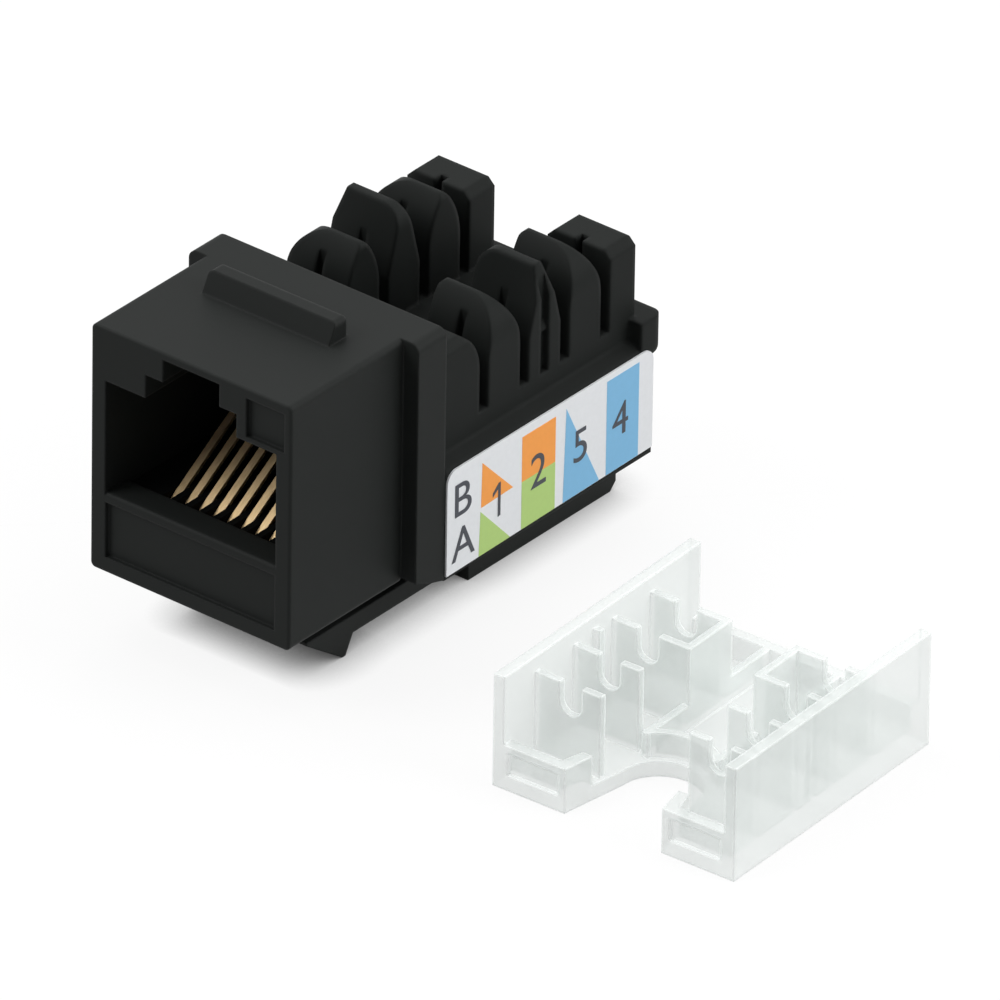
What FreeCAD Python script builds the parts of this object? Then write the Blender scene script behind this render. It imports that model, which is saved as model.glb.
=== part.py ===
"""Keystone jack with punch-down posts, and the see-through dust cap that lies beside it.

Millimetres. X runs across the jack, Y runs back from the plug side, Z is up. The jack stands on
the flat foot under its rear half and on the hook of its latch arm, and the origin is the middle
of that foot. The pieces are drawn in the jack's own drawing frame, where Y is 0 on the front
face and Z is 0 on the underside of the face block, and every piece is placed from there.
"""
import FreeCAD, Part
import math
import os
import Sketcher

Vector = FreeCAD.Vector
doc = FreeCAD.newDocument("keystone_jack")
sheet = doc.addObject("Spreadsheet::Sheet", "Sizes")


class Length:
    """A number that remembers the sheet formula it was worked out with."""

    def __init__(self, value, formula):
        self.value = value
        self.formula = formula

    def __add__(self, other):
        other = as_length(other)
        return Length(self.value + other.value, "(%s + %s)" % (self.formula, other.formula))

    def __sub__(self, other):
        other = as_length(other)
        return Length(self.value - other.value, "(%s - %s)" % (self.formula, other.formula))

    def __mul__(self, other):
        other = as_length(other)
        return Length(self.value * other.value, "(%s * %s)" % (self.formula, other.formula))

    def __truediv__(self, other):
        other = as_length(other)
        return Length(self.value / other.value, "(%s / %s)" % (self.formula, other.formula))

    def __neg__(self):
        return Length(-self.value, "(0 - %s)" % self.formula)

    def __radd__(self, other):
        return as_length(other) + self

    def __rsub__(self, other):
        return as_length(other) - self

    def __rmul__(self, other):
        return as_length(other) * self


def as_length(number):
    return number if isinstance(number, Length) else Length(float(number), "%.9g" % number)


def sine(angle):
    return Length(math.sin(math.radians(angle.value)), "sin(%s * 1 deg)" % angle.formula)


def cosine(angle):
    return Length(math.cos(math.radians(angle.value)), "cos(%s * 1 deg)" % angle.formula)


def root(number):
    return Length(math.sqrt(number.value), "sqrt(%s)" % number.formula)


def size(name, value):
    """Put one driving size in the sheet, with its name as the alias, and return it."""
    size.row += 1
    sheet.set("A%d" % size.row, name)
    sheet.set("B%d" % size.row, str(value))
    sheet.setAlias("B%d" % size.row, name)
    return Length(value, "Sizes." + name)


size.row = 0


# Driving sizes of the face block and its shoulder
face_width = size("face_width", 14.5)
face_height = size("face_height", 15.9)
face_depth = size("face_depth", 9.85)
face_corner = size("face_corner", 0.35)
shoulder_depth = size("shoulder_depth", 2.5)
shoulder_heel = size("shoulder_heel", 0.55)
shoulder_round = size("shoulder_round", 0.6)
front_round = size("front_round", 0.15)
body_width = size("body_width", 16.7)
ridge_width = size("ridge_width", 9.2)
ridge_height = size("ridge_height", 1.3)
ridge_land = size("ridge_land", 1.1)
ridge_slope = size("ridge_slope", 0.65)
ridge_round = size("ridge_round", 0.35)
panel_gap = size("panel_gap", 1.6)

# The plug port, from the underside of the face block
port_width = size("port_width", 12.4)
port_floor = size("port_floor", 5.2)
port_height = size("port_height", 7.3)
step_width = size("step_width", 6.6)
step_height = size("step_height", 1.5)
notch_width = size("notch_width", 4.1)
notch_height = size("notch_height", 1.45)
notch_depth = size("notch_depth", 8.5)
sill_depth = size("sill_depth", 1.9)
sill_round = size("sill_round", 0.25)
recess_depth = size("recess_depth", 0.3)
recess_margin = size("recess_margin", 1.1)
recess_floor = size("recess_floor", 1.0)
recess_top = size("recess_top", 4.6)
square_inner = size("square_inner", 4.0)
square_width = size("square_width", 2.75)
square_height = size("square_height", 2.5)
square_gap = size("square_gap", 0.3)

# The tray under the board, and the foot that the jack stands on
stand_height = size("stand_height", 4.7)
tray_wall = size("tray_wall", 1.45)
tray_drop = size("tray_drop", 0.6)
rail_width = size("rail_width", 1.0)
rail_inset = size("rail_inset", 0.45)
foot_width = size("foot_width", 10.2)
foot_front = size("foot_front", 18.6)
foot_bevel = size("foot_bevel", 0.5)

# The latch arm
arm_width = size("arm_width", 10.0)
arm_thick = size("arm_thick", 1.16)
arm_drop = size("arm_drop", 2.32)
arm_seat = size("arm_seat", 0.25)
arm_running_gap = size("arm_running_gap", 0.08)
hook_rear = size("hook_rear", 8.45)
hook_back_lean = size("hook_back_lean", 0.65)
hook_land = size("hook_land", 0.3)
hook_nose = size("hook_nose", 4.35)
hook_nose_height = size("hook_nose_height", 0.2)

# The rear block with its wire posts
block_length = size("block_length", 18.6)
block_skirt = size("block_skirt", 1.5)
block_shoulder = size("block_shoulder", 6.45)
deck_height = size("deck_height", 8.2)
bar_depth = size("bar_depth", 2.0)
bar_proud = size("bar_proud", 0.95)
bar_height = size("bar_height", 2.7)
bar_round = size("bar_round", 0.7)
row_inner = size("row_inner", 2.85)
row_outer = size("row_outer", 7.4)
row_rear = size("row_rear", 30.4)
first_slot = size("first_slot", 16.9)
slot_pitch = size("slot_pitch", 3.61)
slot_width = size("slot_width", 0.8)
funnel_floor = size("funnel_floor", 11.0)
front_post_top = size("front_post_top", 13.7)
front_post_flank = size("front_post_flank", 1.4)
rear_post_top = size("rear_post_top", 13.4)
corner_post_bevel = size("corner_post_bevel", 0.5)
fin_top = size("fin_top", 14.35)
fin_land = size("fin_land", 0.3)
fin_outer_round = size("fin_outer_round", 2.4)
fin_inner_round = size("fin_inner_round", 0.45)
centre_post_top = size("centre_post_top", 15.1)
centre_post_land = size("centre_post_land", 0.6)
centre_inner_round = size("centre_inner_round", 1.4)
outer_slope_width = size("outer_slope_width", 0.6)
outer_slope_height = size("outer_slope_height", 2.0)
crest_round = size("crest_round", 0.1)
guide_groove_width = size("guide_groove_width", 0.7)
guide_groove_depth = size("guide_groove_depth", 0.4)
guide_catch_height = size("guide_catch_height", 10.9)
guide_catch_rise = size("guide_catch_rise", 0.6)
guide_catch_depth = size("guide_catch_depth", 0.3)
chamber_depth = size("chamber_depth", 3.05)
chamber_gap = size("chamber_gap", 0.2)

# The circuit board, the terminals and the contacts
board_thick = size("board_thick", 1.2)
board_height = size("board_height", 2.0)
board_front = size("board_front", 14.1)
board_rear = size("board_rear", 29.4)
board_gap = size("board_gap", 0.4)
terminal_width = size("terminal_width", 1.9)
terminal_thick = size("terminal_thick", 0.4)
terminal_top = size("terminal_top", 11.4)
terminal_slit = size("terminal_slit", 0.3)
terminal_slit_floor = size("terminal_slit_floor", 8.6)
terminal_mouth = size("terminal_mouth", 1.1)
terminal_mouth_depth = size("terminal_mouth_depth", 0.9)
terminal_leg = size("terminal_leg", 0.5)
leg_reach = size("leg_reach", 0.4)
pocket_gap = size("pocket_gap", 0.05)
contact_pitch = size("contact_pitch", 1.02)
contact_width = size("contact_width", 0.45)
contact_thick = size("contact_thick", 0.25)
contact_run = size("contact_run", 3.6)
contact_nose = size("contact_nose", 3.45)
contact_bend = size("contact_bend", 0.5)
contact_tip_depth = size("contact_tip_depth", 0.4)
contact_tip_drop = size("contact_tip_drop", 1.23)
contact_leg = size("contact_leg", 14.45)
contact_stagger = size("contact_stagger", 0.5)
insert_gap = size("insert_gap", 0.05)
insert_floor = size("insert_floor", 1.0)
insert_rib_top = size("insert_rib_top", 4.9)
insert_base_rear = size("insert_base_rear", 13.9)
comb_front = size("comb_front", 12.9)
comb_depth = size("comb_depth", 2.4)
comb_slot_depth = size("comb_slot_depth", 0.8)
groove_width = size("groove_width", 0.56)

# The printed strip on the right side
label_thick = size("label_thick", 0.12)
label_front_gap = size("label_front_gap", 0.1)
label_length = size("label_length", 18.45)
label_floor_gap = size("label_floor_gap", 0.25)
label_top_gap = size("label_top_gap", 0.05)
label_rise = size("label_rise", 0.2)
label_round = size("label_round", 0.8)

# The dust cap, in a frame of its own, open side up
cap_length = size("cap_length", 18.5)
cap_height = size("cap_height", 7.3)
cap_wall = size("cap_wall", 0.75)
cap_floor = size("cap_floor", 1.0)
cap_row_gap = size("cap_row_gap", 0.2)
cap_low_wall = size("cap_low_wall", 2.9)
cap_low_thick = size("cap_low_thick", 0.7)
cap_notch_mouth = size("cap_notch_mouth", 6.7)
cap_notch_width = size("cap_notch_width", 5.1)
cap_notch_centre = size("cap_notch_centre", 4.4)
cap_lip_length = size("cap_lip_length", 2.1)
cap_fork_first = size("cap_fork_first", 3.1)
cap_fork_thick = size("cap_fork_thick", 0.45)
cap_fork_top = size("cap_fork_top", 6.3)
cap_fork_gap = size("cap_fork_gap", 1.5)
cap_fork_gap_floor = size("cap_fork_gap_floor", 4.35)
cap_rib_height = size("cap_rib_height", 2.6)
cap_rib_thick = size("cap_rib_thick", 0.45)
cap_arch_radius = size("cap_arch_radius", 3.75)
cap_arch_centre = size("cap_arch_centre", 4.0)
cap_arch_angle = size("cap_arch_angle", 47.0)
cap_window_margin = size("cap_window_margin", 0.5)
cap_window_depth = size("cap_window_depth", 0.25)
cap_guide_top = size("cap_guide_top", 6.5)
cap_guide_gap = size("cap_guide_gap", 0.1)
cap_place_across = size("cap_place_across", 28.4)
cap_place_back = size("cap_place_back", 2.75)
cap_turn = size("cap_turn", 2.5)
doc.recompute()

# Places that several pieces share
shoulder_rear = face_depth + shoulder_depth
block_rear = shoulder_rear + block_length
port_roof = port_floor + port_height
step_roof = port_roof + step_height
notch_roof = step_roof + notch_height
half_body = body_width / 2
board_top = board_height + board_thick
foot_middle = (foot_front + block_rear + bar_proud - foot_bevel) / 2
slots = [first_slot + slot_pitch * number for number in range(4)]
guide_place = (slots[1] + slots[2]) / 2
blade_line = (row_inner + row_outer) / 2

NORMAL_SIGN = {"XY": 1, "XZ": -1, "YZ": 1}


def new_body(name, across=0, back=None, up=None):
    """Start a piece and place it: drawn from the front face, moved so the foot is the origin."""
    body = doc.addObject("PartDesign::Body", name)
    body.Label = name
    tie(body, "Placement.Base.x", across)
    tie(body, "Placement.Base.y", (0 if back is None else back) - foot_middle)
    tie(body, "Placement.Base.z", stand_height if up is None else up)
    return body


def tie(item, path, length):
    """Bind one property to its sheet formula."""
    item.setExpression(path, as_length(length).formula)


def arc(centre_x, centre_y, turn):
    """The way from one corner to the next: an arc about a centre, turn 1 is anticlockwise."""
    return as_length(centre_x), as_length(centre_y), turn


def draw(body, name, plane, loops, at=0):
    """Sketch closed loops on an origin plane, moved by at along the axis that the plane faces.

    A corner is (x, y), or (x, y, arc) where an arc leads on to the next corner.
    """
    sketch = body.newObject("Sketcher::SketchObject", name)
    support = [item for item in body.Origin.OriginFeatures if item.Role == plane + "_Plane"]
    sketch.AttachmentSupport = [(support[0], "")]
    sketch.MapMode = "FlatFace"
    if at != 0:
        tie(sketch, ".AttachmentOffset.Base.z", as_length(at) * NORMAL_SIGN[plane])
    for loop in loops:
        draw_loop(sketch, loop, closed=True)
    return sketch


def draw_loop(sketch, corners, closed):
    """Add lines and arcs through the corners, and fix every corner by two distances."""
    corners = [(as_length(c[0]), as_length(c[1]), c[2] if len(c) > 2 else None) for c in corners]
    count = len(corners) if closed else len(corners) - 1
    pieces = []
    for index in range(count):
        start = corners[index]
        end = corners[(index + 1) % len(corners)]
        pieces.append(draw_piece(sketch, start, end))
    for index in range(count):
        geometry, first, last = pieces[index]
        fix_point(sketch, geometry, first, corners[index])
        follower = pieces[(index + 1) % count]
        if closed or index < count - 1:
            link = Sketcher.Constraint("Coincident", geometry, last, follower[0], follower[1])
            sketch.addConstraint(link)
        else:
            fix_point(sketch, geometry, last, corners[-1])
    for index in range(count):
        if corners[index][2]:
            fix_centre(sketch, pieces[index][0], corners[index], corners[(index + 1) % len(corners)])


def draw_piece(sketch, start, end):
    """Add one line or arc and return its number and the numbers of its first and last point."""
    first = Vector(start[0].value, start[1].value, 0)
    last = Vector(end[0].value, end[1].value, 0)
    if start[2] is None:
        return sketch.addGeometry(Part.LineSegment(first, last), False), 1, 2
    centre = Vector(start[2][0].value, start[2][1].value, 0)
    circle = Part.Circle(centre, Vector(0, 0, 1), (first - centre).Length)
    angles = [math.atan2(p.y - centre.y, p.x - centre.x) for p in (first, last)]
    if start[2][2] > 0:
        return sketch.addGeometry(Part.ArcOfCircle(circle, angles[0], angles[1]), False), 1, 2
    return sketch.addGeometry(Part.ArcOfCircle(circle, angles[1], angles[0]), False), 2, 1


def fix_point(sketch, geometry, point, place):
    for kind, length in (("DistanceX", place[0]), ("DistanceY", place[1])):
        rule = Sketcher.Constraint(kind, -1, 1, geometry, point, length.value)
        sketch.setExpression("Constraints[%d]" % sketch.addConstraint(rule), length.formula)


def fix_centre(sketch, geometry, start, end):
    """Two fixed ends leave an arc one freedom, taken up by its centre's better coordinate."""
    flat = abs(end[0].value - start[0].value) > abs(end[1].value - start[1].value)
    kind, length = ("DistanceY", start[2][1]) if flat else ("DistanceX", start[2][0])
    rule = Sketcher.Constraint(kind, -1, 1, geometry, 3, length.value)
    sketch.setExpression("Constraints[%d]" % sketch.addConstraint(rule), length.formula)


def rectangle(left, right, low, high):
    return [(left, low), (right, low), (right, high), (left, high)]


def mirrored(loop):
    """The same loop on the other side of the middle line."""
    other = []
    count = len(loop)
    for index in range(count):
        corner = loop[-index % count]
        before = loop[(-index - 1) % count]
        mark = (arc(-before[2][0], before[2][1], before[2][2]),) if len(before) > 2 else ()
        other.append((-as_length(corner[0]), corner[1]) + mark)
    return other


def add(body, sketch, length, both_ways=False, backwards=False):
    return shape_step(body, "PartDesign::Pad", sketch, length, both_ways, backwards)


def cut(body, sketch, length, both_ways=False, backwards=False):
    return shape_step(body, "PartDesign::Pocket", sketch, length, both_ways, backwards)


def shape_step(body, kind, sketch, length, both_ways, backwards):
    """Pad or pocket along the positive axis of the sketch's plane, and check that it did work."""
    before = body.Shape.Volume if body.Tip else 0
    pocket = kind.endswith("Pocket")
    step = body.newObject(kind, sketch.Name + ("_cut" if pocket else "_pad"))
    step.Profile = sketch
    tie(step, "Length", length)
    plane = sketch.AttachmentSupport[0][0].Role[:2]
    if both_ways:
        step.SideType = "Symmetric"
    along_normal = (NORMAL_SIGN[plane] > 0) != backwards
    step.Reversed = along_normal == pocket
    doc.recompute()
    change = body.Shape.Volume - before
    if (change >= 0) if pocket else (change <= 0):
        raise RuntimeError("%s changed the volume by %.4f" % (step.Name, change))
    return step


def round_edges(body, name, axis, test, radius):
    """Fillet the straight edges along one axis whose two ends both pass the test."""
    base = body.Tip
    names = []
    for number, edge in enumerate(base.Shape.Edges, 1):
        points = [vertex.Point for vertex in edge.Vertexes]
        along = len(points) == 2 and near(abs(getattr(points[1] - points[0], axis)), edge.Length)
        if along and all(test(point) for point in points):
            names.append("Edge%d" % number)
    step = body.newObject("PartDesign::Fillet", name)
    step.Base = (base, names)
    tie(step, "Radius", radius)
    doc.recompute()
    return step


def near(first, second):
    return abs(first - second) < 1e-4


def make_front_housing():
    """Face block, shoulder, ridge, board tray and foot, moulded as one piece."""
    body = new_body("front_housing")
    half_face = face_width / 2
    block = draw(body, "face_block", "XZ", [rectangle(-half_face, half_face, 0, face_height)])
    add(body, block, face_depth)
    round_edges(body, "face_corners", "y", lambda p: True, face_corner)
    shoulder = draw(body, "shoulder", "YZ", [[
        (face_depth, face_corner), (face_depth + shoulder_depth / 2, -shoulder_heel / 3),
        (shoulder_rear, -shoulder_heel), (shoulder_rear, face_height), (face_depth, face_height)]])
    add(body, shoulder, body_width, both_ways=True)
    round_edges(body, "shoulder_corners", "y",
                lambda p: near(abs(p.x), half_body.value) and near(p.z, face_height.value),
                shoulder_round)
    ridge_rear = face_depth - panel_gap
    ridge_front = ridge_rear - ridge_land
    ridge_top = face_height + ridge_height
    ridge = draw(body, "panel_ridge", "YZ", [[
        (ridge_front - ridge_slope, face_height), (ridge_rear, face_height),
        (ridge_rear, ridge_top), (ridge_front, ridge_top)]])
    add(body, ridge, ridge_width, both_ways=True)
    round_edges(body, "ridge_corners", "z",
                lambda p: near(p.y, ridge_rear.value) and p.z > face_height.value - 0.01, ridge_round)
    round_edges(body, "ridge_ends", "y",
                lambda p: near(abs(p.x), ridge_width.value / 2) and near(p.z, ridge_top.value), ridge_round)
    add_tray(body)
    add_foot(body)
    cut_port(body)
    return body


def add_tray(body):
    """A plate behind the shoulder, under the rear block, with two rails for the board."""
    half_tray = half_body - block_skirt - board_gap / 4
    tray_rear = board_rear + board_gap / 2
    plate = draw(body, "tray", "YZ", [rectangle(
        shoulder_rear, tray_rear, -tray_drop, tray_wall - tray_drop)])
    add(body, plate, half_tray * 2, both_ways=True)
    rail = rectangle(half_tray - rail_inset - rail_width, half_tray - rail_inset,
                     tray_wall - tray_drop, board_height)
    rails = draw(body, "board_rails", "XZ", [rail, mirrored(rail)], at=board_front)
    add(body, rails, board_rear - board_front)


def add_foot(body):
    """The foot below the tray, with a round seat for the root of the latch arm."""
    foot_rear = block_rear + bar_proud
    foot = draw(body, "foot", "YZ", [[
        (foot_front, -tray_drop), (foot_front, -stand_height),
        (foot_rear - foot_bevel, -stand_height), (foot_rear, foot_bevel - stand_height),
        (foot_rear, -tray_drop)]])
    add(body, foot, foot_width, both_ways=True)
    seat = arm_thick / 2 + arm_running_gap
    middle = -arm_drop - arm_thick / 2
    place = foot_front + arm_seat
    groove = draw(body, "arm_seat_groove", "YZ", [[
        (place, middle + seat, arc(place, middle, -1)), (place, middle - seat),
        (foot_front - arm_seat, middle - seat), (foot_front - arm_seat, middle + seat)]])
    cut(body, groove, body_width, both_ways=True)


def cut_port(body):
    """The stepped plug opening, the room for the contact insert and the two face recesses."""
    half_port = port_width / 2
    half_step = step_width / 2
    half_notch = notch_width / 2
    right = [(half_port, port_floor), (half_port, port_roof), (half_step, port_roof),
             (half_step, step_roof), (half_notch, step_roof), (half_notch, notch_roof)]
    left = [(-x, z) for x, z in reversed(right)]
    stepped = draw(body, "latch_steps", "XZ", [right + left])
    cut(body, stepped, notch_depth)
    port = draw(body, "plug_port", "XZ", [rectangle(-half_port, half_port, port_floor, port_roof)])
    cut(body, port, shoulder_rear)
    room = draw(body, "insert_room", "XZ", [rectangle(
        -half_port, half_port, insert_floor, port_floor)], at=sill_depth)
    cut(body, room, shoulder_rear - sill_depth)
    half_recess = face_width / 2 - recess_margin
    square = rectangle(square_inner, square_inner + square_width,
                      port_roof + square_gap, port_roof + square_gap + square_height)
    recesses = draw(body, "face_recesses", "XZ", [
        rectangle(-half_recess, half_recess, recess_floor, recess_top), square])
    cut(body, recesses, recess_depth)
    round_edges(body, "sill_edge", "x",
                lambda p: near(p.y, 0) and near(p.z, port_floor.value), sill_round)
    round_edges(body, "front_edge", "x",
                lambda p: near(p.y, 0) and near(p.z, face_height.value), front_round)


def make_latch_arm():
    """A flat springy arm with a hook: a long ramp in front and a steep catch face behind."""
    body = new_body("latch_arm")
    top = -arm_drop
    bottom = top - arm_thick
    place = foot_front + arm_seat
    profile = draw(body, "arm_profile", "YZ", [[
        (place, top, arc(place, top - arm_thick / 2, -1)), (place, bottom), (hook_rear, bottom),
        (hook_rear - hook_back_lean, -stand_height),
        (hook_rear - hook_back_lean - hook_land, -stand_height),
        (hook_nose, top - hook_nose_height), (hook_nose, top)]])
    add(body, profile, arm_width, both_ways=True)
    return body


def flank(edge, land, top, outwards):
    """The centre of the arc that bends a flank from the edge of its slot up to a post's crest."""
    across = (edge - land) * outwards
    rise = top - funnel_floor
    radius = (across * across + rise * rise) / (across * 2)
    return arc(edge - radius * outwards, funnel_floor, 1)


def post_outlines():
    """The five posts of a row seen from the side: fins with bent flanks, and a straight wedge."""
    half_slot = slot_width / 2
    tops = [front_post_top, fin_top, centre_post_top, fin_top, rear_post_top]
    lands = [None, fin_land / 2, centre_post_land / 2, fin_land / 2, None]
    outlines = []
    for number in range(5):
        middle = first_slot + slot_pitch * (number - 0.5)
        top = tops[number]
        before = slots[number - 1] + half_slot
        after = slots[number if number < 4 else 0] - half_slot
        if number == 0:
            crest = after - front_post_flank
            front = [(shoulder_rear, top), (shoulder_rear, deck_height)]
        elif number == 4:
            front = [(before, top), (before, deck_height)]
        else:
            crest = middle + lands[number]
            land = middle - lands[number]
            bend = () if number == 2 else (flank(before, land, top, -1),)
            front = [(land, top) + bend, (before, funnel_floor), (before, deck_height)]
        if number == 4:
            rear = [(row_rear, deck_height), (row_rear, top)]
        else:
            bend = () if number == 2 else (flank(after, crest, top, 1),)
            rear = [(after, deck_height), (after, funnel_floor) + bend, (crest, top)]
        outlines.append(front + rear)
    return outlines


def top_corner(edge, top, inwards, width, height):
    """A triangle that takes a corner off a post's top at one side."""
    return [(edge, top - height), (edge, top), (edge + inwards * width, top)]


def make_idc_block():
    """The rear block: skirts beside the board, a deck, and two rows of five wire posts."""
    body = new_body("idc_block")
    deck_edge = deck_height - (half_body - row_outer) - tray_drop / 2
    section = draw(body, "block_section", "XZ", [[
        (-half_body, -tray_drop), (half_body, -tray_drop), (half_body, block_shoulder),
        (row_outer, deck_edge), (row_outer, deck_height),
        (-row_outer, deck_height), (-row_outer, deck_edge), (-half_body, block_shoulder)]],
        at=shoulder_rear)
    add(body, section, block_length)
    posts = draw(body, "posts", "YZ", post_outlines())
    add(body, posts, row_outer * 2, both_ways=True)
    shape_posts(body)
    bar_rear = block_rear + bar_proud
    bar = draw(body, "rear_bar", "XZ", [rectangle(
        -half_body, half_body, deck_height - bar_height, deck_height)], at=bar_rear - bar_depth)
    add(body, bar, bar_depth)
    round_edges(body, "bar_ends", "z", lambda p: near(p.y, bar_rear.value), bar_round)
    round_edges(body, "bar_underside", "x",
                lambda p: near(p.y, bar_rear.value) and p.z < deck_height.value - 0.01, bar_round)
    hollow_block(body)
    return body


def shape_posts(body):
    """Open the middle channel, then slope, round and groove the posts."""
    round_edges(body, "crests", "x", lambda p: p.z > rear_post_top.value - 0.01, crest_round)
    channel = draw(body, "cable_channel", "XZ", [rectangle(
        -row_inner, row_inner, deck_height, centre_post_top)], at=slots[0] - slot_width / 2)
    cut(body, channel, block_length)
    outer = top_corner(row_outer, rear_post_top, -1, corner_post_bevel, corner_post_bevel)
    inner = top_corner(row_inner, rear_post_top, 1, corner_post_bevel, corner_post_bevel)
    rear_post = draw(body, "rear_post_bevels", "XZ", [outer, mirrored(outer), inner, mirrored(inner)],
                     at=slots[3])
    cut(body, rear_post, slot_pitch)
    outer = top_corner(row_outer, front_post_top, -1, corner_post_bevel, corner_post_bevel)
    front_post = draw(body, "front_post_bevels", "XZ", [outer, mirrored(outer)], at=shoulder_rear)
    cut(body, front_post, slots[0] - shoulder_rear)
    for number in range(3):
        if number == 1:
            top, bend = centre_post_top, centre_inner_round
            outer = top_corner(row_outer, top, -1, outer_slope_width, outer_slope_height)
        else:
            top, bend = fin_top, fin_inner_round
            turn = arc(row_outer - fin_outer_round, top - fin_outer_round, 1)
            outer = [(row_outer, top - fin_outer_round, turn), (row_outer - fin_outer_round, top),
                     (row_outer, top)]
        inner = [(row_inner, top - bend, arc(row_inner + bend, top - bend, -1)),
                 (row_inner + bend, top), (row_inner, top)]
        wedge = draw(body, "wedge_%d_top" % (number + 1), "XZ",
                     [outer, mirrored(outer), inner, mirrored(inner)], at=slots[number])
        cut(body, wedge, slot_pitch)
    groove = rectangle(row_outer - guide_groove_depth, row_outer,
                       guide_place - guide_groove_width / 2, guide_place + guide_groove_width / 2)
    grooves = draw(body, "guide_grooves", "XY", [groove, mirrored(groove)], at=deck_height)
    cut(body, grooves, centre_post_top - deck_height)
    floor = row_outer - guide_groove_depth
    catch = [(floor, guide_catch_height), (floor + guide_catch_depth, guide_catch_height),
             (floor, guide_catch_height + guide_catch_rise)]
    catches = draw(body, "guide_catches", "XZ", [catch, mirrored(catch)],
                   at=guide_place - guide_groove_width / 2)
    add(body, catches, guide_groove_width)


def hollow_block(body):
    """Room for the board from below, for the contact insert in front, and eight blade pockets."""
    half_room = half_body - block_skirt
    room = draw(body, "board_room", "XY", [rectangle(
        -half_room, half_room, shoulder_rear, board_rear + board_gap)], at=-tray_drop)
    cut(body, room, board_top + pocket_gap + tray_drop)
    half_port = port_width / 2
    chamber = draw(body, "insert_chamber", "XZ", [rectangle(
        -half_port, half_port, board_top, port_roof)], at=shoulder_rear)
    cut(body, chamber, chamber_depth)
    half_thick = terminal_thick / 2 + pocket_gap
    half_wide = terminal_width / 2 + pocket_gap
    pockets = []
    for slot in slots:
        pocket = rectangle(blade_line - half_thick, blade_line + half_thick,
                           slot - half_wide, slot + half_wide)
        pockets += [pocket, mirrored(pocket)]
    blades = draw(body, "blade_pockets", "XY", pockets, at=board_top)
    cut(body, blades, centre_post_top - board_top)


def make_contact_insert():
    """The carrier behind the sill: a grooved base for the wires and a comb for their tips."""
    body = new_body("contact_insert")
    half_insert = port_width / 2 - insert_gap
    comb_rear = comb_front + comb_depth
    comb_top = port_roof - chamber_gap
    side = draw(body, "insert_side", "YZ", [[
        (sill_depth + insert_gap * 2, insert_floor), (insert_base_rear, insert_floor),
        (insert_base_rear, insert_rib_top), (comb_rear, insert_rib_top), (comb_rear, comb_top),
        (comb_front, comb_top), (comb_front, insert_rib_top),
        (sill_depth + insert_gap * 2, insert_rib_top)]])
    add(body, side, half_insert * 2, both_ways=True)
    groove_floor = contact_run - contact_thick / 2
    grooves = []
    comb_slots = []
    for number in range(8):
        middle = contact_pitch * (number - 3.5)
        left = middle - groove_width / 2
        right = middle + groove_width / 2
        grooves.append(rectangle(left, right, groove_floor, insert_rib_top))
        comb_slots.append(rectangle(left, right, insert_rib_top, comb_top))
    floor_grooves = draw(body, "wire_grooves", "XZ", grooves, at=sill_depth)
    cut(body, floor_grooves, comb_rear - sill_depth)
    tip_slots = draw(body, "comb_slots", "XZ", comb_slots, at=comb_front)
    cut(body, tip_slots, comb_slot_depth)
    return body


def make_circuit_board():
    """The board, with a slot for each terminal leg and a hole for each contact leg."""
    body = new_body("circuit_board")
    half_board = half_body - block_skirt - board_gap
    loops = [rectangle(-half_board, half_board, board_front, board_rear)]
    half_leg = terminal_leg / 2 + pocket_gap
    half_thick = terminal_thick / 2 + pocket_gap
    for slot in slots:
        hole = rectangle(blade_line - half_thick, blade_line + half_thick,
                         slot - half_leg, slot + half_leg)
        loops += [hole, mirrored(hole)]
    half_wide = contact_width / 2 + pocket_gap
    half_deep = contact_thick / 2 + pocket_gap
    for number in range(8):
        middle = contact_pitch * (number - 3.5)
        row = contact_leg + contact_stagger * (number % 2)
        loops.append(rectangle(middle - half_wide, middle + half_wide,
                               row - half_deep, row + half_deep))
    board = draw(body, "board_outline", "XY", loops, at=board_height)
    add(body, board, board_thick)
    return body


def make_terminals():
    """Eight forked blades that stand on the board and cross the wire slots."""
    half = terminal_width / 2
    half_slit = terminal_slit / 2
    half_mouth = terminal_mouth / 2
    half_leg = terminal_leg / 2
    right = [(half_leg, board_height - leg_reach), (half_leg, board_top), (half, board_top),
             (half, terminal_top), (half_mouth, terminal_top),
             (half_slit, terminal_top - terminal_mouth_depth), (half_slit, terminal_slit_floor)]
    left = [(-y, z) for y, z in reversed(right)]
    bodies = []
    for number in range(8):
        side = 1 if number < 4 else -1
        body = new_body("idc_terminal_%d" % (number + 1), across=blade_line * side,
                        back=slots[number % 4])
        blade = draw(body, "blade_%d" % (number + 1), "YZ", [right + left])
        add(body, blade, terminal_thick, both_ways=True)
        bodies.append(body)
    return bodies


def contact_rise():
    """The upper end of a contact's front bend, and its tip, with a straight run between them."""
    bend_height = contact_run + contact_bend
    tip_y = comb_front + contact_tip_depth
    tip_z = port_roof - chamber_gap - contact_tip_drop
    away = tip_y - contact_nose
    up = tip_z - bend_height
    span = away * away + up * up
    run = root(span - contact_bend * contact_bend)
    level = (run * away + contact_bend * up) / span
    steep = (run * up - contact_bend * away) / span
    return [(contact_nose - contact_bend * steep, bend_height + contact_bend * level),
            (tip_y, tip_z)]


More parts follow.
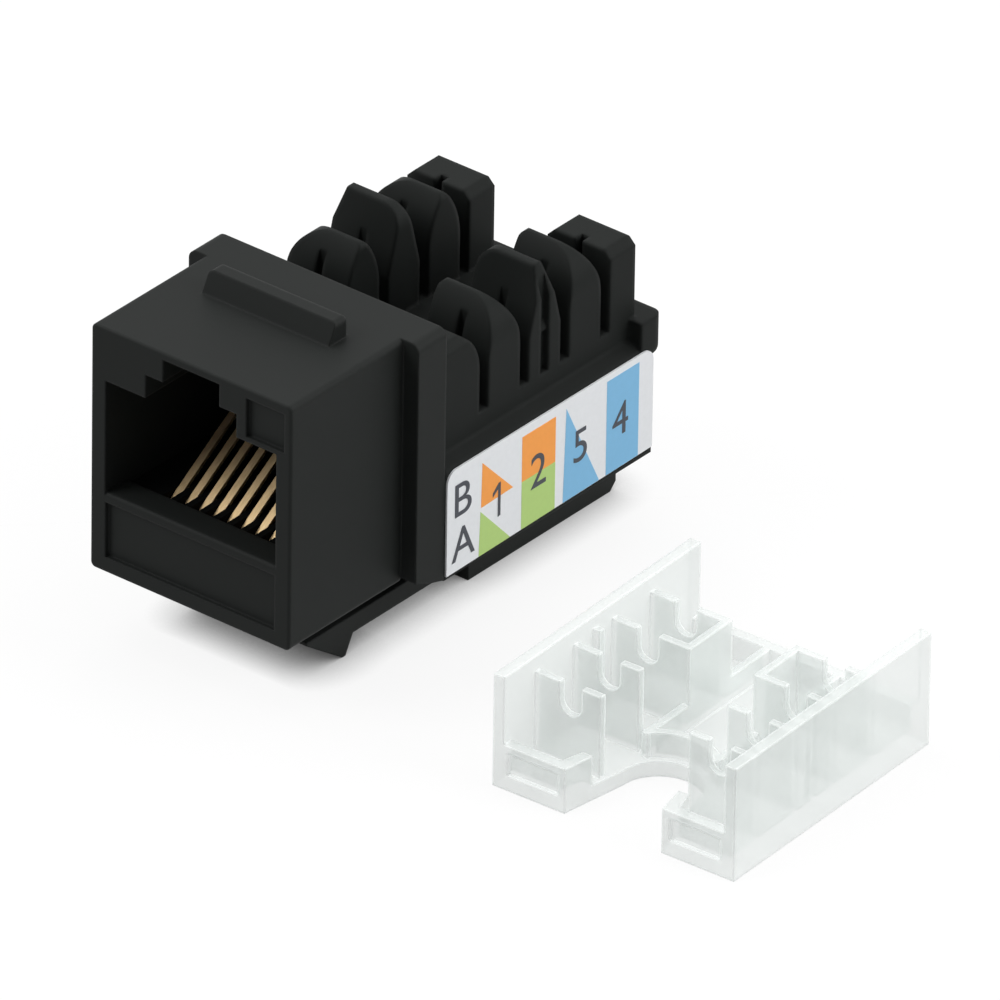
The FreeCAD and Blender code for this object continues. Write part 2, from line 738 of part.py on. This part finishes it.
def make_contacts():
    """Eight flat springs: a leg in the board, a run forward, a tight bend and a sprung rise."""
    bodies = []
    for number in range(8):
        body = new_body("plug_contact_%d" % (number + 1), across=contact_pitch * (number - 3.5))
        row = contact_leg + contact_stagger * (number % 2)
        knee = row - contact_bend
        low = contact_run - contact_bend
        nose = arc(contact_nose, contact_run + contact_bend, -1)
        route = [(row, board_height - leg_reach), (row, low, arc(knee, low, 1)),
                 (knee, contact_run), (contact_nose, contact_run, nose)] + contact_rise()
        path = draw(body, "route_%d" % (number + 1), "YZ", [])
        draw_loop(path, route, closed=False)
        section = draw(body, "section_%d" % (number + 1), "XY", [rectangle(
            -contact_width / 2, contact_width / 2, row - contact_thick / 2, row + contact_thick / 2)],
            at=board_height - leg_reach)
        strip = body.newObject("PartDesign::AdditivePipe", "strip_%d" % (number + 1))
        strip.Profile = section
        strip.Spine = path
        bodies.append(body)
    doc.recompute()
    return bodies


def make_label():
    """A thin printed strip stuck to the right skirt, with its two upper corners rounded."""
    body = new_body("label_right", across=half_body)
    front = shoulder_rear + label_front_gap
    rear = front + label_length
    low = label_floor_gap - tray_drop
    high = block_shoulder - label_top_gap
    strip = draw(body, "strip", "YZ", [[
        (front, low), (rear, low + label_rise),
        (rear, high - label_round, arc(rear - label_round, high - label_round, 1)),
        (rear - label_round, high),
        (front + label_round, high, arc(front + label_round, high - label_round, 1)),
        (front, high - label_round)]])
    add(body, strip, label_thick)
    return body


def make_dust_cap():
    """A floor with a cable notch, two side walls, and forks that press wires into the slots."""
    body = new_body("dust_cap", across=cap_place_across, back=cap_place_back, up=0)
    tie(body, "Placement.Rotation.Angle", cap_turn)
    body.Placement.Rotation.Axis = Vector(0, 0, 1)
    half_mouth = cap_notch_mouth / 2
    half_notch = cap_notch_width / 2
    floor = draw(body, "cap_floor_plate", "XY", [[
        (-half_body, 0), (-half_mouth, 0),
        (-half_notch, cap_notch_centre, arc(0, cap_notch_centre, -1)),
        (half_notch, cap_notch_centre), (half_mouth, 0), (half_body, 0),
        (half_body, cap_length), (-half_body, cap_length)]])
    add(body, floor, cap_floor)
    wall = rectangle(half_body - cap_wall, half_body, 0, cap_length)
    add(body, draw(body, "cap_side_walls", "XY", [wall, mirrored(wall)]), cap_height)
    add_cap_rims(body, half_mouth)
    add_cap_forks(body)
    add_cap_ribs(body)
    return body


def add_cap_rims(body, half_mouth):
    """Low walls beside the cable notch, each with a shallow window, and one along the rear."""
    wall_inside = half_body - cap_wall
    lean = (cap_notch_mouth - cap_notch_width) / 2 * cap_lip_length / cap_notch_centre
    lip = [(half_mouth, 0), (wall_inside, 0), (wall_inside, cap_low_thick),
           (half_mouth + cap_low_thick, cap_low_thick),
           (half_mouth + cap_low_thick - lean, cap_lip_length), (half_mouth - lean, cap_lip_length)]
    add(body, draw(body, "cap_lips", "XY", [lip, mirrored(lip)]), cap_low_wall)
    rear = rectangle(-wall_inside, wall_inside, cap_length - cap_low_thick, cap_length)
    add(body, draw(body, "cap_rear_rim", "XY", [rear]), cap_rib_height)
    window = rectangle(half_mouth + cap_window_margin, half_body - cap_wall - cap_window_margin / 2,
                       cap_floor, cap_low_wall - cap_window_margin)
    cut(body, draw(body, "cap_windows", "XZ", [window, mirrored(window)]), cap_window_depth)


def add_cap_forks(body):
    """Four pairs of forked plates at the pitch of the slots, each clear of a terminal blade."""
    half_gap = cap_fork_gap / 2
    outer = half_body - cap_wall
    gap_round = cap_fork_gap_floor + half_gap
    for number in range(4):
        inner = row_inner - cap_row_gap if number > 1 else row_inner + cap_row_gap
        fork = [(inner, cap_floor), (outer, cap_floor), (outer, cap_fork_top),
                (blade_line + half_gap, cap_fork_top),
                (blade_line + half_gap, gap_round, arc(blade_line, gap_round, -1)),
                (blade_line - half_gap, gap_round),
                (blade_line - half_gap, cap_fork_top), (inner, cap_fork_top)]
        place = cap_fork_first + slot_pitch * number - cap_fork_thick / 2
        forks = draw(body, "forks_%d" % (number + 1), "XZ", [fork, mirrored(fork)], at=place)
        add(body, forks, cap_fork_thick)
    third = cap_fork_first + slot_pitch * 2 - cap_fork_thick / 2
    fourth = cap_fork_first + slot_pitch * 3 + cap_fork_thick / 2
    wall = rectangle(row_inner - cap_row_gap - cap_rib_thick, row_inner - cap_row_gap, third, fourth)
    add(body, draw(body, "fork_walls", "XY", [wall, mirrored(wall)]), cap_fork_top)
    middle = cap_fork_first + slot_pitch * 1.5
    half_guide = guide_groove_width / 2 - cap_guide_gap
    guide = rectangle(row_outer - guide_groove_depth + cap_guide_gap, outer,
                      middle - half_guide, middle + half_guide)
    add(body, draw(body, "guides", "XY", [guide, mirrored(guide)]), cap_guide_top)


def add_cap_ribs(body):
    """An arched rib round the notch, and straight ribs from it to the forks and the rear rim."""
    inside = cap_arch_radius - cap_rib_thick
    side = sine(cap_arch_angle)
    rise = cosine(cap_arch_angle)
    arch = draw(body, "arch_rib", "XY", [[
        (cap_arch_radius * side, cap_arch_centre + cap_arch_radius * rise, arc(0, cap_arch_centre, 1)),
        (-(cap_arch_radius * side), cap_arch_centre + cap_arch_radius * rise),
        (-(inside * side), cap_arch_centre + inside * rise, arc(0, cap_arch_centre, -1)),
        (inside * side, cap_arch_centre + inside * rise)]])
    add(body, arch, cap_rib_height)
    outer = row_inner - cap_row_gap
    front = rectangle(outer - cap_rib_thick, outer, cap_arch_centre + inside * rise,
                      cap_fork_first + slot_pitch * 2)
    rear = rectangle(outer - cap_rib_thick, outer, cap_fork_first + slot_pitch * 3, cap_length)
    ribs = draw(body, "straight_ribs", "XY", [front, mirrored(front), rear, mirrored(rear)])
    add(body, ribs, cap_rib_height)


def check_and_write(bodies):
    """Stop on any failed object or bad shape, then write one STEP file for each piece."""
    doc.recompute()
    failed = [item.Name for item in doc.Objects if {"Invalid", "Error"} & set(item.State)]
    if failed:
        raise RuntimeError("failed objects: " + ", ".join(failed))
    for body in bodies:
        shape = body.Shape
        if shape.isNull() or not shape.isValid() or len(shape.Solids) != 1:
            raise RuntimeError("bad shape: " + body.Label)
    os.makedirs("parts", exist_ok=True)
    for body in bodies:
        body.Shape.exportStep("parts/%s.step" % body.Label)
        box = body.Shape.BoundBox
        print("%-16s %8.2f mm3  X %.2f %.2f  Y %.2f %.2f  Z %.2f %.2f" % (
            body.Label, body.Shape.Volume, box.XMin, box.XMax, box.YMin, box.YMax, box.ZMin, box.ZMax))


pieces = [make_front_housing(), make_latch_arm(), make_idc_block(), make_contact_insert(),
          make_circuit_board()]
pieces += make_contacts() + make_terminals()
pieces += [make_label(), make_dust_cap()]
check_and_write(pieces)
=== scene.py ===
import math

import bmesh
import bpy
from mathutils import Matrix, Vector


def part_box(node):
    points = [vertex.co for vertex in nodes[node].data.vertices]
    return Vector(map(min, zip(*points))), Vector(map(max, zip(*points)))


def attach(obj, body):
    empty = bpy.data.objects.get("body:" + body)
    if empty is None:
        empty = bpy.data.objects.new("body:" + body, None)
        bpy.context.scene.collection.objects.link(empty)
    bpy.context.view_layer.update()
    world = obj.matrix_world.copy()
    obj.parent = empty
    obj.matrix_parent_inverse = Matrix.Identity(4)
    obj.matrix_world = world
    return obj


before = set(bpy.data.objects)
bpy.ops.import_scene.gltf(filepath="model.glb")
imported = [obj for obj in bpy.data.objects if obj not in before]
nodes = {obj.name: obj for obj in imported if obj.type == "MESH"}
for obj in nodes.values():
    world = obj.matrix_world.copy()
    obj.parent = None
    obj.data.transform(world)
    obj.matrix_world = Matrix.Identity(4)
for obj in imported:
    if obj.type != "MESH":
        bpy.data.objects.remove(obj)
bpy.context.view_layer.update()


# The front housing is the face block, the shoulder, the ridge and the foot in one moulding. It is
# black ABS, shot into a spark-eroded mould, so flat faces are an even satin with a very fine
# grain and the corners catch a thin line of light.

MM = 0.001

# A Mix node's sockets when it mixes two colours.
FACTOR = 0
COLOUR_A = 6
COLOUR_B = 7
COLOUR_OUT = 2


def linear(code):
    """An sRGB hex value as linear red, green, blue and alpha."""
    parts = [int(code[i:i + 2], 16) / 255 for i in (1, 3, 5)]
    return [v / 12.92 if v <= 0.04045 else ((v + 0.055) / 1.055) ** 2.4 for v in parts] + [1.0]


def shaded(code, factor):
    """The linear colour of an sRGB hex value, made paler or darker by a factor."""
    return [v * factor for v in linear(code)[:3]] + [1.0]


def add_node(tree, kind, settings=None, links=None):
    """Add a node, set its sockets or properties, and link (node, output) pairs to its inputs."""
    node = tree.nodes.new(kind)
    for key, value in (settings or {}).items():
        if isinstance(key, int) or key in node.inputs:
            node.inputs[key].default_value = value
        else:
            setattr(node, key, value)
    for key, (source, output) in (links or {}).items():
        tree.links.new(source.outputs[output], node.inputs[key])
    return node


def new_material(name):
    """An empty node material, with its tree, output node and Object coordinates."""
    made = bpy.data.materials.new(name)
    made.use_nodes = True
    made.node_tree.nodes.clear()
    out = add_node(made.node_tree, "ShaderNodeOutputMaterial")
    place = add_node(made.node_tree, "ShaderNodeTexCoord")
    return made, made.node_tree, out, place


def dress(piece, made):
    """Give a piece one material."""
    piece.data.materials.clear()
    piece.data.materials.append(made)


def moulded_black(name, code, roughness, shine, corner_radius):
    """Black plastic from a steel mould: an even satin with a fine grain, slow changes of sheen, and
    corners that are softer than the solids show. The corner radius is in millimetres."""
    made, tree, out, place = new_material(name)
    # A real eroded grain is a few hundredths of a millimetre, too fine to show, so it is coarser.
    grain_size = 0.12 * MM
    grain_depth = 0.006 * MM
    flow_size = 4.0 * MM
    smoother = 0.04
    rougher = 0.05
    paler = 1.25
    grain = add_node(tree, "ShaderNodeTexNoise", {"Scale": 1 / grain_size, "Detail": 3.0},
                     {"Vector": (place, "Object")})
    flow = add_node(tree, "ShaderNodeTexNoise", {"Scale": 1 / flow_size, "Detail": 2.0},
                    {"Vector": (place, "Object")})
    sheen = add_node(tree, "ShaderNodeMapRange",
                     {"To Min": roughness - smoother, "To Max": roughness + rougher},
                     {"Value": (flow, 0)})
    tone = add_node(tree, "ShaderNodeMix",
                    {"data_type": "RGBA", COLOUR_A: linear(code), COLOUR_B: shaded(code, paler)},
                    {FACTOR: (flow, 0)})
    corner = add_node(tree, "ShaderNodeBevel", {"samples": 6, "Radius": corner_radius * MM})
    bump = add_node(tree, "ShaderNodeBump", {"Strength": 0.25, "Distance": grain_depth},
                    {"Height": (grain, 0), "Normal": (corner, 0)})
    shader = add_node(tree, "ShaderNodeBsdfPrincipled", {"IOR": 1.52, "Specular IOR Level": shine},
                      {"Base Color": (tone, COLOUR_OUT), "Roughness": (sheen, 0),
                       "Normal": (bump, 0)})
    tree.links.new(shader.outputs[0], out.inputs["Surface"])
    return made


housing_abs = moulded_black("spark_eroded_black_abs", "#1B1D1C", roughness=0.55, shine=0.09,
                            corner_radius=0.2)
dress(nodes["front_housing"], housing_abs)


# The latch arm is the springy strip under the face block that snaps behind the panel. It comes
# out of the same mould as the housing, with the same satin finish.

dress(nodes["latch_arm"], housing_abs)


# The rear block carries the board and the two rows of wire posts. It is a second moulding in the
# same black ABS, with rounder corners, so that the wires slide in, and a little less shine.

block_abs = moulded_black("moulded_black_abs", "#1B1D1C", roughness=0.55, shine=0.06,
                          corner_radius=0.4)
dress(nodes["idc_block"], block_abs)


# The contact insert holds the wires side by side in grooves, and its comb guides their tips. It is
# moulded in glass-filled black plastic, duller than the housing, and coloured darker than the housing
# as painted shade, so that the deep inside of the port looks black.

# Painted shade: this black is darker than the housing's so that the inside of the port looks black.
insert_black_and_port_shade = moulded_black("glass_filled_black_and_port_shade", "#0B0C0C", roughness=0.6,
                               shine=0.05, corner_radius=0.1)
dress(nodes["contact_insert"], insert_black_and_port_shade)


# The circuit board joins the contacts to the blades. Glass-fibre board under green resist, with
# a faint weave below the gloss.

board_resist, tree, out, place = new_material("green_solder_resist")
weave_pitch = 0.5 * MM
weave = add_node(tree, "ShaderNodeTexChecker",
                 {"Scale": 1 / weave_pitch, "Color1": linear("#0F3B1F"), "Color2": linear("#124424")},
                 {"Vector": (place, "Object")})
shader = add_node(tree, "ShaderNodeBsdfPrincipled", {"Roughness": 0.3, "IOR": 1.5},
                  {"Base Color": (weave, 0)})
tree.links.new(shader.outputs[0], out.inputs["Surface"])
dress(nodes["circuit_board"], board_resist)


# The plug contacts are eight flat springs, stamped from phosphor bronze strip and then gold
# plated, so fine rolling marks run along them and they shine a pale tan gold.

WIRES = range(1, 9)
contact_gold, tree, out, place = new_material("gold_plated_phosphor_bronze")
# Real rolling marks are finer than these, which are as coarse as they need to be to show.
mark_width = 0.05 * MM
along_strip = add_node(tree, "ShaderNodeMapping", {"Scale": (1.0, 0.08, 0.12)},
                       {"Vector": (place, "Object")})
rolling_marks = add_node(tree, "ShaderNodeTexNoise", {"Scale": 1 / mark_width, "Detail": 2.0},
                         {"Vector": (along_strip, 0)})
gold_tone = add_node(tree, "ShaderNodeMix",
                     {"data_type": "RGBA", COLOUR_A: linear("#C4A678"), COLOUR_B: linear("#E6CDA2")},
                     {FACTOR: (rolling_marks, 0)})
polish = add_node(tree, "ShaderNodeMapRange", {"To Min": 0.38, "To Max": 0.5},
                  {"Value": (rolling_marks, 0)})
shader = add_node(tree, "ShaderNodeBsdfPrincipled", {"Metallic": 1.0},
                  {"Base Color": (gold_tone, COLOUR_OUT), "Roughness": (polish, 0)})
tree.links.new(shader.outputs[0], out.inputs["Surface"])
for number in WIRES:
    dress(nodes["plug_contact_%d" % number], contact_gold)


# The terminals are forked blades that cut through a wire's jacket. Stamped phosphor bronze,
# tinned, with a soft grey shine and fine rolling marks up the blade.

tin, tree, out, place = new_material("tinned_phosphor_bronze")
# These marks too are coarser than real ones, so that they show.
mark_width = 0.06 * MM
up_blade = add_node(tree, "ShaderNodeMapping", {"Scale": (1.0, 1.0, 0.1)},
                    {"Vector": (place, "Object")})
rolling_marks = add_node(tree, "ShaderNodeTexNoise", {"Scale": 1 / mark_width, "Detail": 2.0},
                         {"Vector": (up_blade, 0)})
polish = add_node(tree, "ShaderNodeMapRange", {"To Min": 0.28, "To Max": 0.45},
                  {"Value": (rolling_marks, 0)})
shader = add_node(tree, "ShaderNodeBsdfPrincipled",
                  {"Metallic": 1.0, "Base Color": linear("#C6C4BE")}, {"Roughness": (polish, 0)})
tree.links.new(shader.outputs[0], out.inputs["Surface"])
for number in WIRES:
    dress(nodes["idc_terminal_%d" % number], tin)


# The label is a strip of white polyester film on the right skirt. It is printed with the two
# wiring schemes as coloured fields, and with the numbers of the four terminals on that side.

label_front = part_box("label_right")[1].x
print_height = 0.012 * MM

# The front face lies 25 mm before the origin, and the face block 4.7 mm above the floor.
FACE_FORWARD = 25.0
BLOCK_UP = 4.7


def film(name, code, roughness):
    """Printed polyester film: smooth, with the faintest mottling in the ink."""
    made, tree, out, place = new_material(name)
    mottle_size = 0.3 * MM
    darker = 0.93
    mottle = add_node(tree, "ShaderNodeTexNoise", {"Scale": 1 / mottle_size, "Detail": 2.0},
                      {"Vector": (place, "Object")})
    ink = add_node(tree, "ShaderNodeMix",
                   {"data_type": "RGBA", COLOUR_A: linear(code), COLOUR_B: shaded(code, darker)},
                   {FACTOR: (mottle, 0)})
    shader = add_node(tree, "ShaderNodeBsdfPrincipled", {"Roughness": roughness, "IOR": 1.5},
                      {"Base Color": (ink, COLOUR_OUT)})
    tree.links.new(shader.outputs[0], out.inputs["Surface"])
    return made


dress(nodes["label_right"], film("white_polyester_film", "#EFF1F4", roughness=0.4))


def on_label(y, z, lift=0.0):
    """A place on the label: y is how far behind the front face, and z how far above the underside
    of the face block, both in millimetres. The lift stands off the film, in metres."""
    return Vector((label_front + lift, (y - FACE_FORWARD) * MM, (z + BLOCK_UP) * MM))


def add_print(name, mesh, ink):
    """Make a mesh a piece of the label's print."""
    piece = bpy.data.objects.new(name, mesh)
    bpy.context.scene.collection.objects.link(piece)
    dress(piece, ink)
    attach(piece, "jack")


def printed(name, outlines, ink, layer=0):
    """Flat fields of ink on the label or on the layer of ink below, with a little thickness."""
    bm = bmesh.new()
    for outline in outlines:
        corners = [bm.verts.new(on_label(y, z, layer * print_height)) for y, z in outline]
        face = bm.faces.new(corners)
        if face.normal.x < 0:
            face.normal_flip()
    made = bmesh.ops.extrude_face_region(bm, geom=bm.faces[:])
    lifted = [item for item in made["geom"] if isinstance(item, bmesh.types.BMVert)]
    bmesh.ops.translate(bm, vec=(print_height, 0, 0), verts=lifted)
    bmesh.ops.recalc_face_normals(bm, faces=bm.faces[:])
    mesh = bpy.data.meshes.new(name)
    bm.to_mesh(mesh)
    bm.free()
    add_print(name, mesh, ink)


printed("print_orange",
        [[(15.54, 5.74), (15.47, 2.82), (18.32, 2.9)],
         [(19.1, 2.85), (22.1, 2.85), (22.1, 5.8), (19.1, 5.8)]],
        film("orange_ink", "#FFA23C", roughness=0.4))
printed("print_green",
        [[(15.43, 2.58), (15.31, -0.31), (18.12, -0.28)],
         [(19.1, -0.27), (22.1, -0.23), (22.1, 2.85), (19.1, 2.85)]],
        film("green_ink", "#B4D578", roughness=0.4))
printed("print_blue",
        [[(23.05, 5.87), (22.83, -0.22), (26.1, -0.18)],
         [(26.7, -0.18), (29.6, -0.14), (29.6, 5.98), (26.7, 5.98)]],
        film("blue_ink", "#7CBCE5", roughness=0.4))

# The font's own 1 is a bare stroke, so the printed 1 is drawn here with its flag.
figure_ink = film("dark_figure_ink", "#2E323C", roughness=0.45)
printed("figure_1",
        [[(16.97, 1.55), (17.2, 1.6), (17.2, 3.78), (17.02, 3.78), (16.5, 3.3), (16.5, 3.02),
          (16.97, 3.4)]],
        figure_ink, layer=1)

# The other figures are text, made in millimetres flat on the ground and stood up on the label.
capital_share = 0.72
half_thickness = 0.006
middle_of_layer = 1.5 * print_height
stood_up = Matrix(((0, 0, 1), (1, 0, 0), (0, 1, 0))).to_4x4()
for name, text, y, z, height in (
        ("figure_b", "B", 12.9, 3.2, 2.25),
        ("figure_a", "A", 12.9, 0.3, 2.2),
        ("figure_2", "2", 19.8, 1.95, 2.25),
        ("figure_5", "5", 23.6, 1.9, 2.2),
        ("figure_4", "4", 27.2, 1.95, 2.2)):
    curve = bpy.data.curves.new(name, "FONT")
    curve.body = text
    curve.size = height / capital_share
    curve.extrude = half_thickness
    written = bpy.data.objects.new(name + "_text", curve)
    bpy.context.scene.collection.objects.link(written)
    bpy.context.view_layer.update()
    mesh = bpy.data.meshes.new_from_object(written)
    mesh.name = name
    bpy.data.objects.remove(written)
    lower_left = Matrix.Translation(on_label(y, z, middle_of_layer))
    mesh.transform(lower_left @ stood_up @ Matrix.Scale(MM, 4))
    add_print(name, mesh, figure_ink)


# The dust cap presses over the posts and keeps the wires in. It is moulded in milky polycarbonate,
# and light goes through its walls. Its edges are more opaque than the walls, and a painted glow,
# faint on the walls and stronger at the edges, stands in for light that runs along inside them, so
# the edges look paler.

milky, tree, out, place = new_material("milky_polycarbonate")
cloud_size = 2.5 * MM
edge_width = 0.3 * MM
clouds = add_node(tree, "ShaderNodeTexNoise", {"Scale": 1 / cloud_size, "Detail": 2.0},
                  {"Vector": (place, "Object")})
satin = add_node(tree, "ShaderNodeMapRange", {"To Min": 0.3, "To Max": 0.4},
                 {"Value": (clouds, 0)})
slant = add_node(tree, "ShaderNodeLayerWeight", {"Blend": 0.35})
wall_haze = add_node(tree, "ShaderNodeMapRange", {"To Min": 0.24, "To Max": 0.62},
                     {"Value": (slant, "Facing")})

# Near an edge the rounded normal leaves the face's own, so their dot product is 1 on a flat wall
# and less at its edges.
own = add_node(tree, "ShaderNodeNewGeometry")
rounded = add_node(tree, "ShaderNodeBevel", {"samples": 8, "Radius": edge_width})
likeness = add_node(tree, "ShaderNodeVectorMath", {"operation": "DOT_PRODUCT"},
                    {0: (own, "Normal"), 1: (rounded, 0)})
both_sides = add_node(tree, "ShaderNodeMath", {"operation": "ABSOLUTE"},
                      {0: (likeness, "Value")})
edge = add_node(tree, "ShaderNodeMapRange", {"From Min": 0.995, "From Max": 0.85},
                {"Value": (both_sides, 0)})
edge_haze = add_node(tree, "ShaderNodeMapRange", {"To Min": 0.0, "To Max": 0.7},
                     {"Value": (edge, 0)})
haze = add_node(tree, "ShaderNodeMath", {"operation": "MAXIMUM"},
                {0: (wall_haze, 0), 1: (edge_haze, 0)})
# Painted glow: the cap gives off light of its own, faint on the walls and strongest at its edges.
painted_edge_glow = add_node(tree, "ShaderNodeMapRange", {"To Min": 0.035, "To Max": 0.28},
                        {"Value": (edge, 0)})
shader = add_node(tree, "ShaderNodeBsdfPrincipled",
                  {"IOR": 1.58, "Base Color": linear("#EEF3F1"),
                   "Emission Color": linear("#F6FAF9")},
                  {"Roughness": (satin, 0), "Alpha": (haze, 0), "Normal": (rounded, 0),
                   "Emission Strength": (painted_edge_glow, 0)})
tree.links.new(shader.outputs[0], out.inputs["Surface"])
dress(nodes["dust_cap"], milky)


# The studio: a white paper floor that runs to the horizon, a large soft box above, smaller ones on
# all four sides, and a long lens a little over a metre away.

half_width = 3.0
below_feet = 0.02 * MM
floor_mesh = bpy.data.meshes.new("floor")
bm = bmesh.new()
bmesh.ops.create_grid(bm, x_segments=1, y_segments=1, size=half_width)
bmesh.ops.translate(bm, vec=(0, 0, -below_feet), verts=bm.verts[:])
bm.to_mesh(floor_mesh)
bm.free()
floor = bpy.data.objects.new("floor", floor_mesh)
bpy.context.scene.collection.objects.link(floor)


def background_rays(tree):
    """1 for rays that show the background: the camera's, and those through or off a surface."""
    rays = add_node(tree, "ShaderNodeLightPath")
    seen = add_node(tree, "ShaderNodeMath", {"operation": "MAXIMUM"},
                    {0: (rays, "Is Camera Ray"), 1: (rays, "Is Transmission Ray")})
    return add_node(tree, "ShaderNodeMath", {"operation": "MAXIMUM"},
                    {0: (seen, 0), 1: (rays, "Is Glossy Ray")})


# The object gets its light from a grey floor, and the eye sees a white one that glows. Near the jack
# ambient occlusion darkens that glow into a painted contact shadow; the lamps add a faint real one.
# The painted shadow ends before the cap, because it would show through it as a grey plate.
paper, tree, out, place = new_material("white_paper_floor")
shadow_reach = 2.6 * MM
fades_from = 12 * MM
gone_at = 17 * MM
bounce = add_node(tree, "ShaderNodeBsdfDiffuse", {"Color": (0.35, 0.35, 0.35, 1)})
matt = add_node(tree, "ShaderNodeBsdfDiffuse", {"Color": (0.12, 0.12, 0.12, 1)})
# Painted contact shadow: ambient occlusion darkens the floor's glow near the jack.
painted_shadow_occlusion = add_node(tree, "ShaderNodeAmbientOcclusion", {"samples": 6, "Distance": shadow_reach})
across = add_node(tree, "ShaderNodeSeparateXYZ", None, {0: (place, "Object")})
past_jack = add_node(tree, "ShaderNodeMapRange",
                     {"From Min": fades_from, "From Max": gone_at}, {"Value": (across, "X")})
open_sky = add_node(tree, "ShaderNodeMath", {"operation": "MAXIMUM"},
                    {0: (painted_shadow_occlusion, "AO"), 1: (past_jack, 0)})
painted_shadow_strength = add_node(tree, "ShaderNodeMapRange", {"From Min": 0.06, "To Min": 0.0, "To Max": 0.87},
               {"Value": (open_sky, 0)})
glow = add_node(tree, "ShaderNodeEmission", None, {"Strength": (painted_shadow_strength, 0)})
shown = add_node(tree, "ShaderNodeAddShader", None, {0: (matt, 0), 1: (glow, 0)})
seen_or_not = add_node(tree, "ShaderNodeMixShader", None,
                       {0: (background_rays(tree), 0), 1: (bounce, 0), 2: (shown, 0)})

# From below the floor is clear, so that the underside of the jack can be seen.
side = add_node(tree, "ShaderNodeNewGeometry")
clear = add_node(tree, "ShaderNodeBsdfTransparent")
from_below = add_node(tree, "ShaderNodeMixShader", None,
                      {0: (side, "Backfacing"), 1: (seen_or_not, 0), 2: (clear, 0)})
tree.links.new(from_below.outputs[0], out.inputs["Surface"])
dress(floor, paper)

# The world lights the object weakly, and the eye sees it white.
world = bpy.data.worlds.new("studio")
bpy.context.scene.world = world
world.use_nodes = True
world.node_tree.nodes.clear()
tree = world.node_tree
out = add_node(tree, "ShaderNodeOutputWorld")
strength = add_node(tree, "ShaderNodeMapRange", {"To Min": 0.3, "To Max": 1.0},
                    {"Value": (background_rays(tree), 0)})
sky = add_node(tree, "ShaderNodeBackground", {"Color": (1, 1, 1, 1)}, {"Strength": (strength, 0)})
tree.links.new(sky.outputs[0], out.inputs["Surface"])


def soft_box(name, place, target, size, power):
    """A square soft box that faces a point of the object. Lengths in metres, power in watts."""
    lamp = bpy.data.lights.new(name, "AREA")
    lamp.size = size
    lamp.energy = power
    stand = bpy.data.objects.new(name, lamp)
    bpy.context.scene.collection.objects.link(stand)
    stand.location = place
    stand.rotation_euler = (Vector(target) - Vector(place)).to_track_quat("-Z", "Y").to_euler()


middle = (0.01, -0.01, 0.01)
soft_box("top_box", (-0.12, 0.11, 0.60), (0.01, -0.01, 0), size=0.7, power=2.3)
soft_box("right_box", (0.6, 0.25, 0.35), middle, size=0.4, power=2.7)
soft_box("front_box", (-0.4, -0.5, 0.55), middle, size=0.4, power=3.0)
soft_box("left_box", (-0.65, 0.05, 0.3), middle, size=0.4, power=0.9)
soft_box("rear_box", (0.25, 0.65, 0.25), middle, size=0.4, power=0.9)

# The camera's place and turn were worked out from corners of the object in the photograph, with
# the face block drawn 14.6 mm wide. It is 14.5 mm, so the distances shrink with it.
AZIMUTH = math.radians(38.65)
ELEVATION = math.radians(31.018)
ROLL = math.radians(0.891)
SHRINK = 14.5 / 14.6
DISTANCE = 1411.996 * SHRINK * MM
SHIFT_RIGHT = -17.556 * SHRINK * MM
SHIFT_DOWN = 6.158 * SHRINK * MM
back = Vector((math.sin(AZIMUTH) * math.cos(ELEVATION),
               -math.cos(AZIMUTH) * math.cos(ELEVATION), math.sin(ELEVATION)))
level = Vector((0, 0, 1)).cross(back).normalized()
upright = back.cross(level)
right = math.cos(ROLL) * level + math.sin(ROLL) * upright
top = math.cos(ROLL) * upright - math.sin(ROLL) * level
under_face = Vector((0, -FACE_FORWARD * MM, BLOCK_UP * MM))
lens_place = under_face - right * SHIFT_RIGHT + top * SHIFT_DOWN + back * DISTANCE
camera_data = bpy.data.cameras.new("camera")
camera_data.lens = 900
camera_data.sensor_width = 36
camera = bpy.data.objects.new("camera", camera_data)
bpy.context.scene.collection.objects.link(camera)
camera.matrix_world = Matrix((
    (right.x, top.x, back.x, lens_place.x),
    (right.y, top.y, back.y, lens_place.y),
    (right.z, top.z, back.z, lens_place.z),
    (0, 0, 0, 1)))
bpy.context.scene.camera = camera
bpy.context.scene.view_settings.view_transform = "Standard"
